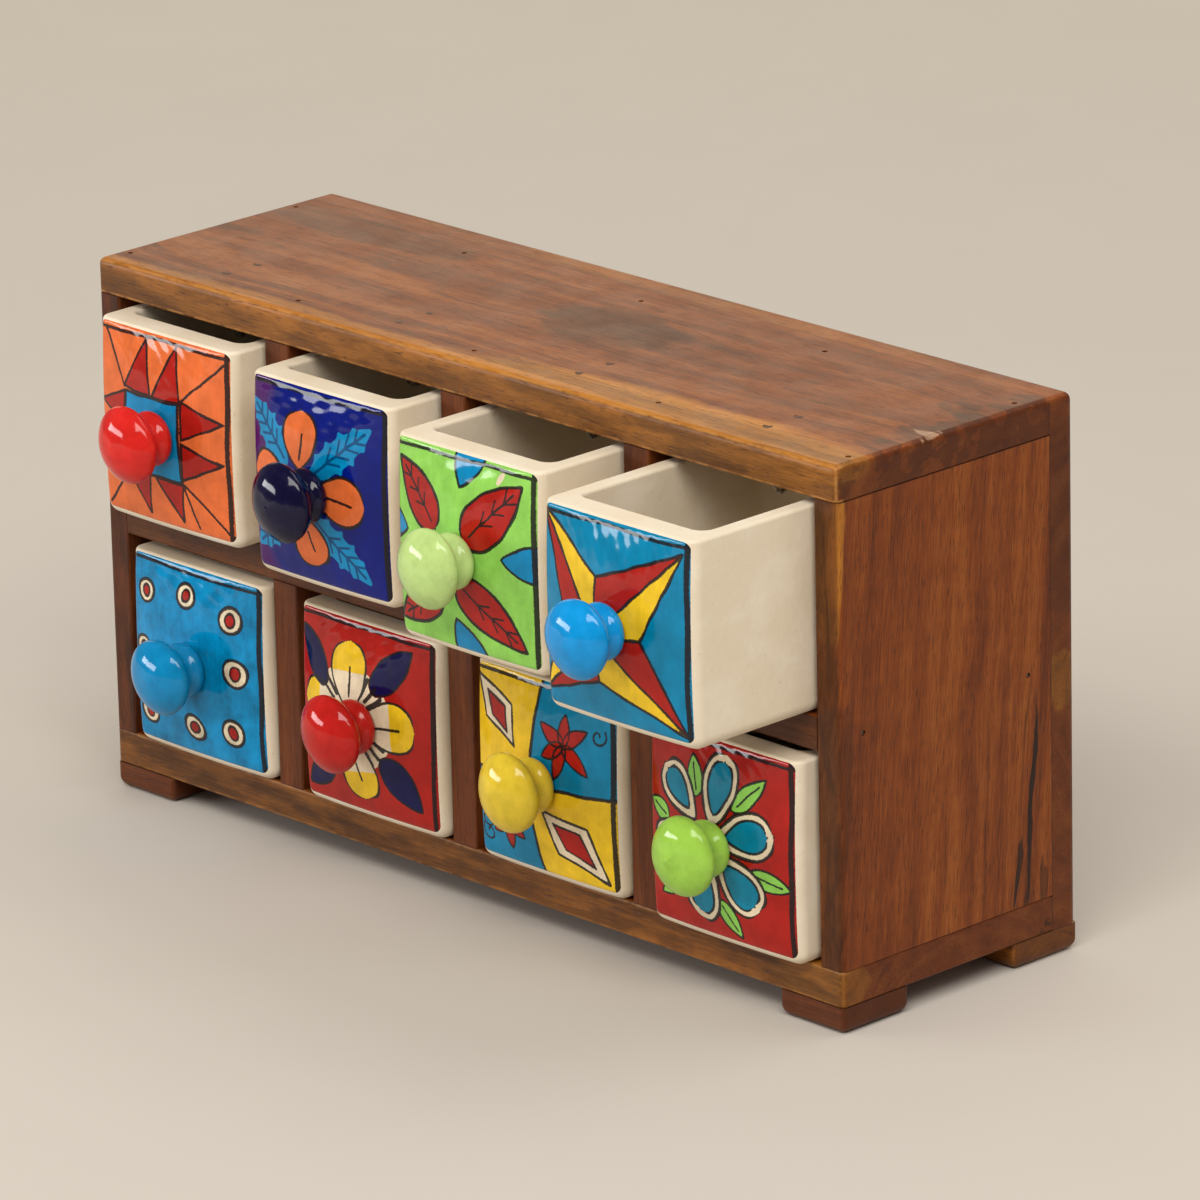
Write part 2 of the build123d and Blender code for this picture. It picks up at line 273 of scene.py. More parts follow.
rosewood("bottom_board", along_x, facing_up, (20, 8, -46), 1.0, (
    ((-70, -15, 14), (150, 14, 12), heartwood, 0.5),
    ((161, -13, 15), (26, 9, 9), sapwood, 0.8),
    ((165, 73, 11), (3, 3, 2.5), black_streak, 0.8),
), golden_brown, 0.35)
rosewood("left_side", leaning, facing_side, (0, -14, 52), 2.0, (
    ((-155.5, 30, 90), (200, 200, 4), heartwood, 0.8),
), heartwood)
rosewood("right_side", leaning, facing_side, (-40, 26, -60), 3.0, (
    ((163, -15, 148), (28, 2.6, 10), sapwood, 0.8),
    ((160, -15, 62), (58, 4, 10), heartwood, 0.6),
    ((165, 67, 52), (36, 1.4, 6), black_streak, 0.95),
    ((165, 61, 30), (14, 1.3, 6), black_streak, 0.9),
    ((165, 72, 26), (10, 2.4, 6), heartwood, 0.8),
), dull_brown)
rosewood("middle_shelf", along_x, facing_up, (-60, 10, 40), 4.0, (), deep_brown)
# Dividers: darker wood all through, partly dark wood and partly a painted shade of the narrow gaps between
# the drawers.
dark_and_shaded_throughout = (((0, 30, 90), (400, 400, 400), heartwood, 0.7),)
for number in (1, 2, 3):
    for row, pith, seed in (("upper", (0, -6 * number, 34), 4.0), ("lower", (10, 8 * number, -38), 8.0)):
        rosewood(f"{row}_divider_{number}", upright, facing_side, pith, seed + number, dark_and_shaded_throughout)
rosewood("top_board", along_x, facing_up, (-30, 16, -38), 12.0, (
    ((95, -17, 178), (112, 21, 10), sapwood, 0.85),
    ((-80, -15, 178), (110, 8, 10), sapwood, 0.6),
    ((14, 40, 178), (30, 17, 10), heartwood, 0.68),
    ((-120, 62, 178), (52, 10, 10), heartwood, 0.5),
    ((160, 40, 172), (9, 60, 9), heartwood, 0.7),
    ((166, 27, 178), (5, 4, 1.4), scraped, 0.6),
), honey, 0.75)
rosewood("back_panel", along_x, facing_back, (60, 20, 44), 13.0, (
    ((165, 81, 89), (40, 9, 12), sapwood, 0.8),
    ((0, 81, 176), (150, 4, 9), sapwood, 0.25),
    ((165, 81, 140), (30, 34, 12), heartwood, 0.5),
))

# Block feet: four short rosewood offcuts, glued under the corners of the bottom board. They are darker than
# the boards, apart from the paler one at the rear right.
foot_seed = 20.0
for end in ("front", "rear"):
    for side in ("left", "right"):
        foot = f"{end}_{side}_foot"
        low, high = box_mm(foot)
        tint = honey if foot == "rear_right_foot" else heartwood
        spot = ((low + high) / 2, (60, 30, 12), tint, 0.75)
        rosewood(foot, along_x, facing_up, (0, 6, -24), foot_seed, (spot,))
        foot_seed += 1.0

# Nails and stops: headless steel brads driven below the surface, and bent wire stops whose two ends
# come up through the boards. On top of the chest their holes are smeared over with dark putty.
steel_grey = (0.52, 0.50, 0.47)
steel_dark = (0.20, 0.18, 0.16)
putty_brown = (0.035, 0.017, 0.011)
putty_radius = 1.7
putty_height = 0.12
putty_rings = 7
putty_columns = 24
stop_setback = 21.5
stop_spread = 13.0


def bright_steel(name, dark, bright, rough):
    """Wire or turned steel: brushed grey with darker oxide in patches."""
    finish = Finish(name)
    place = finish.place()
    oxide = finish.ease(finish.noise(place, 2.2, 0.0, 4.0, 0.6), 0.42, 0.66)
    scratches = finish.noise(place, (0.25, 2.5, 0.25), 3.0, 2.0)
    finish.shade(
        base_color=finish.mix(oxide, bright, dark),
        metallic=1.0,
        roughness=finish.ease(scratches, 0.3, 0.7, rough - 0.08, rough + 0.12),
        normal=finish.bump(scratches, 0.03, 0.4),
    )
    return finish


def grid_faces(rows, columns, wrap):
    """Quads between the points of a grid, row by row; the last column meets the first if it wraps."""
    row = np.arange(rows - 1)[:, None]
    column = np.arange(columns if wrap else columns - 1)[None, :]
    beside = (column + 1) % columns
    corners = (row * columns + column, row * columns + beside, (row + 1) * columns + beside,
               (row + 1) * columns + column)
    return np.stack(corners, -1).reshape(-1, 4).tolist()


def piece(name, points, faces, finish, body, slot, **attributes):
    """A smooth mesh from an array of points in millimetres, with numbers kept at its points, on a body."""
    mesh = bpy.data.meshes.new(name)
    mesh.from_pydata((points * mm).tolist(), [], faces)
    mesh.polygons.foreach_set("use_smooth", np.ones(len(mesh.polygons), bool))
    for label, values in attributes.items():
        mesh.attributes.new(label, "FLOAT", "POINT").data.foreach_set("value", values.astype(np.float32))
    mesh.materials.append(finish.material)
    mesh.update()
    made = bpy.data.objects.new(name, mesh)
    bpy.context.scene.collection.objects.link(made)
    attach(made, body)
    return made


def putty_dots(middles):
    """Low uneven domes: height falls with the square of the radius, and the rim wanders with the angle."""
    share = np.linspace(0, 1, putty_rings)[:, None]
    angle = np.linspace(0, 2 * np.pi, putty_columns, endpoint=False)[None, :]
    points = []
    faces = []
    for number, (x, y, z) in enumerate(middles):
        rim = putty_radius * (1 + 0.16 * np.sin(2 * angle + number) + 0.09 * np.sin(5 * angle + 2 * number))
        radius = np.maximum(share, 0.02) * rim
        rise = putty_height * (1 - 1.6 * share ** 2) + 0 * angle
        dome = np.stack((x + radius * np.cos(angle), y + radius * np.sin(angle), z + rise), -1)
        first = sum(len(p) for p in points)
        shells = np.array(grid_faces(putty_rings, putty_columns, True))[:, ::-1] + first
        crown = first + np.arange(putty_columns)
        faces += shells.tolist()
        faces.append(crown.tolist())
        faces.append((crown + (putty_rings - 1) * putty_columns)[::-1].tolist())
        points.append(dome.reshape(-1, 3))
    return np.concatenate(points), faces


dress("panel_brads", bright_steel("brad_steel", steel_dark, steel_dark, 0.5))
dress("drawer_stops", bright_steel("stop_steel", steel_dark, steel_grey, 0.32))
board_low, board_high = box_mm("top_board")
cells = [sum(corner[0] for corner in box_mm(f"drawer_{number}_box")) / 2 for number in (1, 2, 3, 4)]
stop_legs = (stop_setback - stop_spread / 2, stop_setback + stop_spread / 2)
dots = [(x, board_low[1] + leg, board_high[2]) for x in cells for leg in stop_legs]
putty = Finish("putty")
smear = putty.noise(putty.place(), 0.8, 0.0, 3.0)
putty.shade(base_color=putty.mix(smear, putty_brown, wood_dark), roughness=0.5,
            normal=putty.bump(smear, 0.05, 0.5))
dot_points, dot_faces = putty_dots(dots)
piece("nail_hole_putty", dot_points, dot_faces, putty, "carcass", "carcass_wood")

# Drawer trays: slip-cast cream stoneware, hand finished with a damp sponge, fired with a thin dull glaze.
# Pinholes, faint smears and warmer patches come from the kiln.
stoneware = (0.715, 0.615, 0.465)
stoneware_warm = (0.695, 0.585, 0.425)
stoneware_pale = (0.765, 0.675, 0.535)
pinhole = (0.230, 0.160, 0.100)


def stoneware_finish():
    """Cream body: broad mottling between three tones, sparse dark pinholes and a sponged surface."""
    finish = Finish("cream_stoneware")
    place = finish.place()
    cloud = finish.noise(place, (22, 22, 16), 2.0, 4.0, 0.55)
    colour = finish.ramp(cloud, ((0.30, stoneware_warm), (0.50, stoneware), (0.70, stoneware_pale)))
    specks = finish.ease(finish.noise(place, 0.7, 8.0, 1.0), 0.74, 0.80)
    colour = finish.mix(finish.maths("MULTIPLY", specks, 0.5), colour, pinhole)
    sponged = finish.noise(place, 3.2, 4.0, 3.0)
    grit = finish.noise(place, 0.35, 6.0, 2.0)
    normal = finish.bump(sponged, 0.25, 0.5)
    normal = finish.bump(finish.maths("SUBTRACT", grit, specks), 0.05, 0.5, normal)
    finish.shade(base_color=colour, roughness=finish.ease(cloud, 0.3, 0.7, 0.46, 0.60), normal=normal)
    return finish


cream = stoneware_finish()
for number in range(1, 9):
    dress(f"drawer_{number}_box", cream)

# Painted fronts: each crowned drawer face carries opaque colours drawn by hand with a brush, black outlines
# and a thick clear glaze that runs into ripples and rolls over at the rim, a little inside the tray's edge.
face_bulge = 5.0
drawer_length = 93.6
face_round = 4.0
rim_round = 1.2
bare_side = 1.35
bare_foot = 2.4
bare_head = 0.45
design_rise = 1.0
paint_corner = 2.6
glaze_thickness = 0.30
glaze_roll = 0.6
glaze_tuck = 0.12
glaze_rough = 0.08
glaze_specular = 0.24
ripple_height = 0.07
head_ripple_height = 0.085
head_start = 14.0
hand_wobble = 0.28
even_mottle = 0.16
washed_mottle = 0.32
skin_points = 191
skin_back = 1.0
off_paint = 9.0
ink_black = (0.011, 0.009, 0.010)
colours = {
    "orange": (0.640, 0.132, 0.033),
    "red": (0.340, 0.011, 0.007),
    "turquoise": (0.001, 0.200, 0.420),
    "navy": (0.001, 0.007, 0.150),
    "blue_black": (0.004, 0.004, 0.050),
    "violet": (0.055, 0.006, 0.100),
    "deep_teal": (0.001, 0.060, 0.170),
    "leaf_green": (0.235, 0.530, 0.085),
    "blue": (0.001, 0.185, 0.345),
    "yellow": (0.720, 0.460, 0.015),
    "cream": (0.680, 0.570, 0.400),
    "teal": (0.001, 0.190, 0.310),
}


def waves(x, z, lengths, seed):
    """Sum of plane waves of the given lengths, each turned and shifted by its own place in the list."""
    turns = 2.4 * np.arange(len(lengths)) + seed
    return sum(
        np.sin(2 * np.pi * (x * np.cos(t) + z * np.sin(t)) / length + 3.1 * t + seed)
        for length, t in zip(lengths, turns)
    ) / len(lengths)


# Places on a face in millimetres from its middle, x to the right and z up: an even grid whose corner squares
# are drawn in to quarter discs
tray_low, tray_high = box_mm("drawer_1_box")
face_half = (tray_high - tray_low)[[0, 2]] / 2
paint_half = np.array((face_half[0] - bare_side, face_half[1] - (bare_foot + bare_head) / 2))
paint_rise = (bare_foot - bare_head) / 2
span = np.linspace(-1, 1, skin_points)
flat = np.stack(np.meshgrid(span * paint_half[0], span * paint_half[1]), -1).reshape(-1, 2)
corner_depth = np.maximum(np.abs(flat) - (paint_half - paint_corner), 0) / paint_corner
drawn = corner_depth * np.sqrt(1 - corner_depth[:, ::-1] ** 2 / 2)
flat = np.sign(flat) * (np.abs(flat) - paint_corner * (corner_depth - drawn))
to_rim = paint_corner * (1 - np.linalg.norm(drawn, axis=1)) * (drawn.min(1) > 0)
to_rim += (drawn.min(1) <= 0) * np.min(paint_half - np.abs(flat), axis=1)
face_x = flat[:, 0]
face_z = flat[:, 1] + paint_rise
hand_x = face_x + hand_wobble * waves(face_x, face_z, (9, 14, 23), 1.0)
hand_z = face_z - design_rise + hand_wobble * waves(face_x, face_z, (8, 15, 21), 4.0)


def edge_round(inset, slope, radius):
    """Extra depth of a rounded edge over a sloping face: a circle touching the side wall and the face."""
    hypotenuse = np.sqrt(1 + slope ** 2)
    touch = radius * (1 - slope / hypotenuse)
    centre = radius * hypotenuse - slope * radius
    arc = centre - np.sqrt(np.maximum(radius ** 2 - (radius - np.minimum(inset, radius)) ** 2, 0))
    return np.where(inset < touch, np.maximum(arc + slope * inset, 0), 0)


def face_depth():
    """Depth of a tray's face behind its rim plane: less a parabola across times one up, plus the rounds."""
    across = 1 - (face_x / face_half[0]) ** 2
    upward = 1 - (face_z / face_half[1]) ** 2
    depth = -face_bulge * across * upward
    depth += edge_round(face_half[0] - np.abs(face_x), 2 * face_bulge * upward / face_half[0], face_round)
    slope = 2 * face_bulge * across / face_half[1]
    radius = np.where(face_z > 0, rim_round, face_round)
    return depth + edge_round(face_half[1] - np.abs(face_z), slope, radius)


def polygon(*corners):
    """Distance to a closed outline of straight sides, negative inside."""
    distance = np.full(hand_x.shape, 1e9)
    inside = np.zeros(hand_x.shape, bool)
    for (ax, az), (bx, bz) in zip(corners, corners[1:] + corners[:1]):
        distance = np.minimum(distance, stroke((ax, az), (bx, bz), width=0))
        crossing = (az > hand_z) != (bz > hand_z)
        at = ax + (hand_z - az) * (bx - ax) / (bz - az if bz != az else 1e-9)
        inside ^= crossing & (hand_x < at)
    return np.where(inside, -distance, distance)


def stroke(*points, width=0.95):
    """Distance to a brush line through points, less half its width."""
    distance = np.full(hand_x.shape, 1e9)
    for (ax, az), (bx, bz) in zip(points, points[1:]):
        run = np.array((bx - ax, bz - az))
        share = np.clip(((hand_x - ax) * run[0] + (hand_z - az) * run[1]) / (run @ run), 0, 1)
        distance = np.minimum(distance, np.hypot(hand_x - ax - share * run[0], hand_z - az - share * run[1]))
    return distance - width / 2


def leaf(root, tip, width, blunt_root=0.5, blunt_tip=1.0, teeth=0, bite=0.35):
    """Distance to a leaf or petal: its half width is share^root times (1 - share)^tip along its middle line,
    scaled to the width. A power near a half is a round end and near one a point; teeth cut the edge."""
    run = np.array(tip, float) - np.array(root, float)
    length = np.linalg.norm(run)
    run /= length
    x, z = hand_x - root[0], hand_z - root[1]
    share = (x * run[0] + z * run[1]) / length
    aside = np.abs(z * run[0] - x * run[1])
    inner = np.clip(share, 0.004, 0.996)
    total = blunt_root + blunt_tip
    peak = (blunt_root / total) ** blunt_root * (blunt_tip / total) ** blunt_tip
    half = width / 2 * inner ** blunt_root * (1 - inner) ** blunt_tip / peak
    slope = half / length * (blunt_root / inner - blunt_tip / (1 - inner))
    if teeth:
        turn = 2 * np.pi * teeth * inner
        half = half * (1 - bite * (0.5 - 0.5 * np.cos(turn + 0.9 * np.sin(turn))))
    beyond = np.maximum(np.maximum(-share, share - 1), 0) * length
    beside = (aside - half) / np.sqrt(1 + np.clip(slope, -2, 2) ** 2)
    return np.where(beyond > 0, np.hypot(aside, beyond), beside)


def spray(leaves, *shape):
    """Several leaves of one shape: each is a root and a tip, and a width where widths differ."""
    return union(*(leaf(*one, *shape) for one in leaves))


def along_leaf(root, tip):
    """Share of the way from a leaf's root to its tip."""
    run = np.array(tip, float) - np.array(root, float)
    return ((hand_x - root[0]) * run[0] + (hand_z - root[1]) * run[1]) / (run @ run)


def veins(root, tip, pairs, reach, start=0.1, end=0.86, width=0.8):
    """Brush lines of a leaf: its midrib and pairs of side veins that slant towards the tip."""
    root, tip = np.array(root, float), np.array(tip, float)
    run = tip - root
    side = np.array((-run[1], run[0])) / np.linalg.norm(run) * reach
    lines = [stroke(tuple(root + start * run), tuple(root + end * run), width=width)]
    for share in np.linspace(start + 0.2, end - 0.16, pairs):
        for hand in (-1, 1):
            foot = root + share * run
            lines.append(stroke(tuple(foot), tuple(foot + 0.13 * run + hand * side), width=width * 0.85))
    return union(*lines)


def oval(middle, half_length, half_width, turn=0.0):
    """Distance to an ellipse, from its radius in its own scaled axes."""
    x, z = hand_x - middle[0], hand_z - middle[1]
    c, s = np.cos(np.radians(turn)), np.sin(np.radians(turn))
    scaled = np.hypot((x * c + z * s) / half_length, (z * c - x * s) / half_width)
    return (scaled - 1) * min(half_length, half_width)


def union(*distances):
    """Nearest of several shapes."""
    return np.minimum.reduce(distances)


def both(first, second):
    """What lies inside two shapes."""
    return np.maximum(first, second)


def outline(distance, width=0.95):
    """Brush line along the edge of a shape, a little uneven in width."""
    return np.abs(distance) - width / 2 * (1 + 0.25 * waves(face_x, face_z, (7, 11, 17), 2.0))


def sunburst():
    """Orange ground: a turquoise square, two red rays on each of its sides, black spokes to the corners."""
    square = polygon((-15.6, 10.8), (9.8, 11.3), (10.4, -14.4), (-16.1, -14.7))
    rays = (
        ((-16.4, 12.2), (-7.6, 29.1), (-3.3, 11.4)), ((-2.5, 11.4), (6.4, 29.1), (10.4, 11.6)),
        ((11.0, 12.3), (27.8, 7.6), (11.4, 0.0)), ((11.4, -1.4), (27.5, -6.0), (10.8, -13.6)),
        ((10.6, -15.0), (8.0, -28.4), (-1.5, -14.9)), ((-4.4, -15.2), (-7.4, -28.4), (-15.5, -15.2)),
        ((-16.1, 10.7), (-30.4, 5.1), (-16.1, 0.0)), ((-16.2, -2.0), (-30.0, -8.0), (-16.4, -14.0)),
    )
    red = union(*(polygon(*ray) for ray in rays))
    spokes = union(
        stroke((-16.4, 12.0), (-27.1, 28.8)), stroke((10.4, 12.0), (29.0, 27.4)),
        stroke((10.7, -14.4), (29.8, -29.4)), stroke((-16.0, -15.0), (-28.0, -29.2)),
        stroke((10.7, -15.0), (15.4, -29.1)),
    )
    ink = union(outline(red), outline(square, 1.1), spokes)
    return "orange", (("red", red), ("turquoise", square)), ink


def blue_flower():
    """Navy ground: four orange petals with a dark midline and four feathered turquoise leaves."""
    petals = (((-5.0, 6.0), (-6.2, 23.8)), ((2.0, -0.4), (22.0, -1.5)), ((-4.7, -9.0), (0.2, -24.8)),
              ((-11.0, 0.0), (-29.0, 1.0)))
    leaves = (((0.0, 4.5), (24.6, 23.8)), ((-11.0, 6.0), (-29.8, 23.5)), ((0.0, -8.0), (22.8, -26.4)),
              ((-11.0, -9.0), (-29.0, -24.0)))
    orange = spray(petals, 15.6, 0.75, 0.45)
    feathers = spray(leaves, 12.5, 0.6, 0.75, 5, 0.26)
    plumes = union(*(veins(root, tip, 4, 3.4, 0.10, 0.9, 1.0) for root, tip in leaves))
    plumes = both(plumes, feathers)
    midlines = union(stroke((-5.1, 9.0), (-4.6, 16.8)), stroke((4.5, -0.4), (17.0, -1.8)),
                     stroke((-1.9, -14.0), (-0.2, -20.0)), stroke((-13.0, 0.0), (-23.0, 0.5)))
    violet = (hand_x + 21 + 3 * waves(face_x, face_z, (13, 22), 1.0)) / 8
    ink = union(outline(orange, 1.1), midlines)
    layers = (("violet", violet), ("turquoise", feathers), ("deep_teal", plumes), ("orange", orange))
    return "navy", layers, ink


def red_leaves():
    """Light green ground: four veined red leaves to the corners and turquoise half leaves at mid side."""
    leaves = (((3.0, 5.2), (24.9, 25.8), 15.5), ((-0.3, -8.6), (25.6, -25.9), 14.5),
              ((-10.0, 6.5), (-28.3, 25.1), 13.5), ((-9.0, -13.0), (-29.8, -26.3), 13.0))
    halves = (((4.5, 40.0), (-0.5, 21.2), 12.5), ((40.0, 2.0), (17.8, 2.3), 12.0),
              ((4.0, -40.0), (-2.6, -20.9), 13.0), ((-40.0, 4.0), (-24.5, 3.2), 11.0))
    red = spray(leaves, 0.48, 0.92)
    half_leaves = spray(halves, 0.6, 0.9)
    ribs = (veins(root, tip, 3, 2.7) for root, tip, _ in leaves)
    ink = union(outline(red, 1.1), outline(half_leaves), *ribs)
    missed = oval((16.3, 27.0), 2.6, 1.0, 60)
    return "leaf_green", (("red", red), ("turquoise", half_leaves), ("cream", missed)), ink


def split_star():
    """Blue ground: a four-pointed star, each point split along its ridge into a red and a yellow side."""
    heart = (-5.0, -3.8)
    tips = ((-30.2, 30.2), (27.9, 26.8), (29.0, -29.4), (-31.0, -27.0))
    notches = ((-20.0, 0.5), (-5.6, 13.8), (13.1, -2.2), (-5.0, -18.8))
    firsts = [polygon(tip, notches[i], heart) for i, tip in enumerate(tips)]
    seconds = [polygon(tip, notches[(i + 1) % 4], heart) for i, tip in enumerate(tips)]
    red = union(*firsts)
    yellow = union(*seconds)
    ink = union(*(outline(side, 1.0) for side in firsts + seconds))
    return "blue", (("red", red), ("yellow", yellow)), ink


def ringed_dots():
    """Turquoise ground, washed on thin: eight white ovals ringed in black, each with a red eye."""
    dots = ((-22.9, 19.4, 4.0, 20), (-2.8, 21.9, 4.2, -10), (17.9, 18.2, 4.7, 15), (20.2, 1.2, 4.9, -5),
            (17.7, -19.7, 4.7, 30), (0.1, -21.4, 4.5, -35), (-23.1, -21.1, 4.4, 10), (-24.4, 0.3, 4.2, 0))
    white = union(*(oval((x, z), size, size * 0.92, turn) for x, z, size, turn in dots))
    eyes = union(*(oval((x, z), size * 0.50, size * 0.42, turn + 70) for x, z, size, turn in dots))
    ink = union(outline(white, 1.1), outline(eyes, 0.75))
    return "turquoise", (("cream", white), ("red", eyes)), ink


def yellow_flower():
    """Red ground: four petals, white at the root and yellow at the end, dark leaves and ink between."""
    petals = (((-4.2, 2.0), (-6.3, 24.4)), ((0.0, 0.0), (22.9, 1.3)), ((-4.2, -5.0), (-0.2, -26.2)),
              ((-9.0, 0.8), (-28.0, 2.0)))
    leaves = (((5.5, 11.0), (21.3, 26.6), 10.5), ((-16.5, 8.0), (-28.6, 25.4), 9.0),
              ((9.0, -10.5), (24.2, -25.2), 11.5), ((-14.0, -16.0), (-28.0, -27.0), 9.0))
    heart = (-3.8, 0.4)
    shapes = [leaf(root, tip, 16.2, 0.85, 0.45) for root, tip in petals]
    bloom = union(*shapes)
    ends = union(*(both(s, (0.58 - along_leaf(r, t)) * 22) for s, (r, t) in zip(shapes, petals)))
    dark_leaves = spray(leaves, 0.6, 0.85)
    wedges = both(oval(heart, 18.0, 17.0), 0.5 - dark_leaves)
    rays = []
    for angle in np.radians((33, 47, 62, 122, 137, 150, 214, 228, 240, 303, 317, 331)):
        run = np.array((np.cos(angle), np.sin(angle)))
        rays.append(stroke(tuple(heart + 9.5 * run), tuple(heart + 16.0 * run), width=1.5))
    midlines = union(stroke((-4.6, 7.5), (-4.8, 16.5)), stroke((5.0, -0.8), (16.8, 0.6)),
                     stroke((-3.4, -11.0), (-0.9, -20.0)), stroke((-13.0, 0.8), (-22.0, 1.4)))
    gaps = both(union(*rays), -bloom)
    ink = union(outline(bloom, 0.9), outline(dark_leaves, 0.8), midlines, gaps)
    layers = (("cream", union(wedges, bloom)), ("yellow", ends), ("blue_black", dark_leaves))
    return "red", layers, ink


def quarters():
    """Yellow and blue quarters: a red and white lozenge on each yellow one, a red flower on each blue."""
    upright_line = hand_x + 3.2 - 0.0022 * (hand_z + 2) ** 2
    level_line = hand_z + 1.9 - 0.03 * hand_x
    blue = union(both(-upright_line, -level_line), both(upright_line, level_line))
    lozenges = union(polygon((-29.4, 27.4), (-12.9, 20.8), (-10.6, 8.3), (-25.4, 14.7)),
                     polygon((1.6, -9.4), (19.6, -12.0), (26.9, -28.6), (6.7, -22.7)))
    hearts = union(polygon((-25.0, 22.9), (-16.2, 19.6), (-14.3, 11.6), (-22.2, 15.6)),
                   polygon((5.9, -12.6), (16.6, -14.4), (21.6, -24.4), (10.2, -20.6)))
    stars = (((10.5, 13.3), ((10.7, 23.0), (19.8, 19.4), (20.4, 5.4), (7.6, 1.9), (1.9, 8.4), (0.6, 18.6))),
             ((-15.7, -17.0), ((-15.0, -8.0), (-7.5, -13.0), (-8.0, -21.5), (-14.6, -26.6), (-23.0, -22.0),
                               (-23.4, -12.6))))
    petals = [leaf(middle, tip, 4.8, 0.6, 0.9) for middle, tips in stars for tip in tips]
    flowers = union(*petals)
    curl = np.linspace(0, 4.4 * np.pi / 2, 14)
    curls = []
    for (x, z), turn in (((24.0, 18.6), 1), ((-25.6, -23.6), -1), ((-26.4, -19.4), 1)):
        radius = 0.5 + 0.42 * curl
        curls.append(stroke(*zip(x + turn * radius * np.cos(curl), z + radius * np.sin(curl)), width=0.7))
    ink = union(np.abs(upright_line) - 0.65, np.abs(level_line) - 0.6, outline(lozenges),
                outline(hearts, 0.8), *(outline(petal, 0.7) for petal in petals), *curls)
    return "yellow", (("blue", blue), ("cream", lozenges), ("red", union(hearts, flowers))), ink


def teal_flower():
    """Red ground: six petals with teal hearts and broad white rims, light green leaves between them."""
    petals = (((-10.0, 8.7), (-21.0, 18.0), 8.4), ((0.3, 9.0), (3.2, 25.4), 9.6),
              ((5.8, 3.1), (21.2, 6.6), 10.0), ((5.2, -5.8), (15.8, -17.2), 11.0),
              ((-2.2, -11.0), (-7.6, -23.6), 9.6), ((-10.8, -3.2), (-25.2, -5.8), 9.6))
    leaves = (((8.0, 12.0), (20.2, 23.6)), ((15.0, -6.4), (29.4, -9.6)), ((1.6, -18.0), (8.8, -29.3)),
              ((-7.0, 13.0), (-10.4, 25.4)), ((-20.0, 3.0), (-29.6, 7.2)), ((-13.0, -13.0), (-25.0, -22.4)))
    teal = spray(petals, 0.75, 0.42)
    rim_shapes = []
    for root, tip, width in petals:
        run = (np.array(tip) - root) / np.linalg.norm(np.array(tip) - root)
        rim_shapes.append(leaf(tuple(root - 4.0 * run), tuple(tip + 2.2 * run), width + 4.6, 0.75, 0.42))
    rims = union(*rim_shapes)
    separate = union(*(outline(shape, 1.1) for shape in rim_shapes))
    green = spray(leaves, 6.6, 0.6, 0.9)
    ribs = []
    for root, tip in leaves:
        run = np.array(tip) - root
        ribs.append(stroke(tuple(root + 0.15 * run), tuple(root + 0.8 * run), width=0.7))
    ink = union(both(outline(green, 0.8), -rims), both(union(*ribs), -rims), separate, outline(teal, 0.9))
    return "red", (("leaf_green", green), ("cream", rims), ("teal", teal)), ink


def border_line(seed):
    """Black brush line inside the painted rim: broad at the right and top, thin at the left and foot."""
    wander = 0.35 * waves(face_x, face_z, (26, 41), seed)
    sides = (
        np.abs(face_x - paint_half[0] + 1.1 + wander) - 0.75,
        np.abs(face_z - paint_half[1] + 0.8 + wander) - 0.55,
        np.abs(face_z + paint_half[1] - 0.6 + wander) - 0.32,
        np.abs(face_x + paint_half[0] - 0.4 + wander) - 0.22,
    )
    return union(*sides)


def glaze_finish(name, ground, layers, mottle):
    """Ground colour, then each paint layer where its distance is below nought, then ink; all under gloss."""
    finish = Finish(name)
    place = finish.place()
    washed = finish.noise(place, 7, 1.0, 4.0, 0.6)
    brushed = finish.noise(place, (1.1, 3.0, 9.0), 5.0, 2.0)
    colour = colours[ground]
    for number, label in enumerate(layers):
        distance = finish.node("Attribute", {}, "Fac", attribute_name=f"paint_{number}")
        soft = 0.45 if label == "violet" else 0.10
        colour = finish.mix(finish.ease(distance, soft, -soft), colour, colours[label])
    shade = finish.maths("MULTIPLY_ADD", washed, 5 * mottle, 1 - 2.5 * mottle)
    shade = finish.maths("MULTIPLY_ADD", brushed, mottle, finish.maths("SUBTRACT", shade, mottle / 2))
    colour = finish.mix(1.0, colour, finish.node("CombineXYZ", {0: shade, 1: shade, 2: shade}), "MULTIPLY")
    ink = finish.node("Attribute", {}, "Fac", attribute_name="ink")
    ragged = finish.maths("MULTIPLY_ADD", finish.noise(place, 0.7, 3.0, 2.0), 0.5, -0.25)
    ink = finish.ease(finish.maths("ADD", ink, ragged), 0.10, -0.10, 0.0, 0.96)
    colour = finish.mix(ink, colour, ink_black)
    orange_peel = finish.noise(place, 1.6, 7.0, 2.0)
    finish.shade(base_color=colour, roughness=glaze_rough, specular_ior_level=glaze_specular,
                 normal=finish.bump(orange_peel, 0.035, 0.5))
    return finish


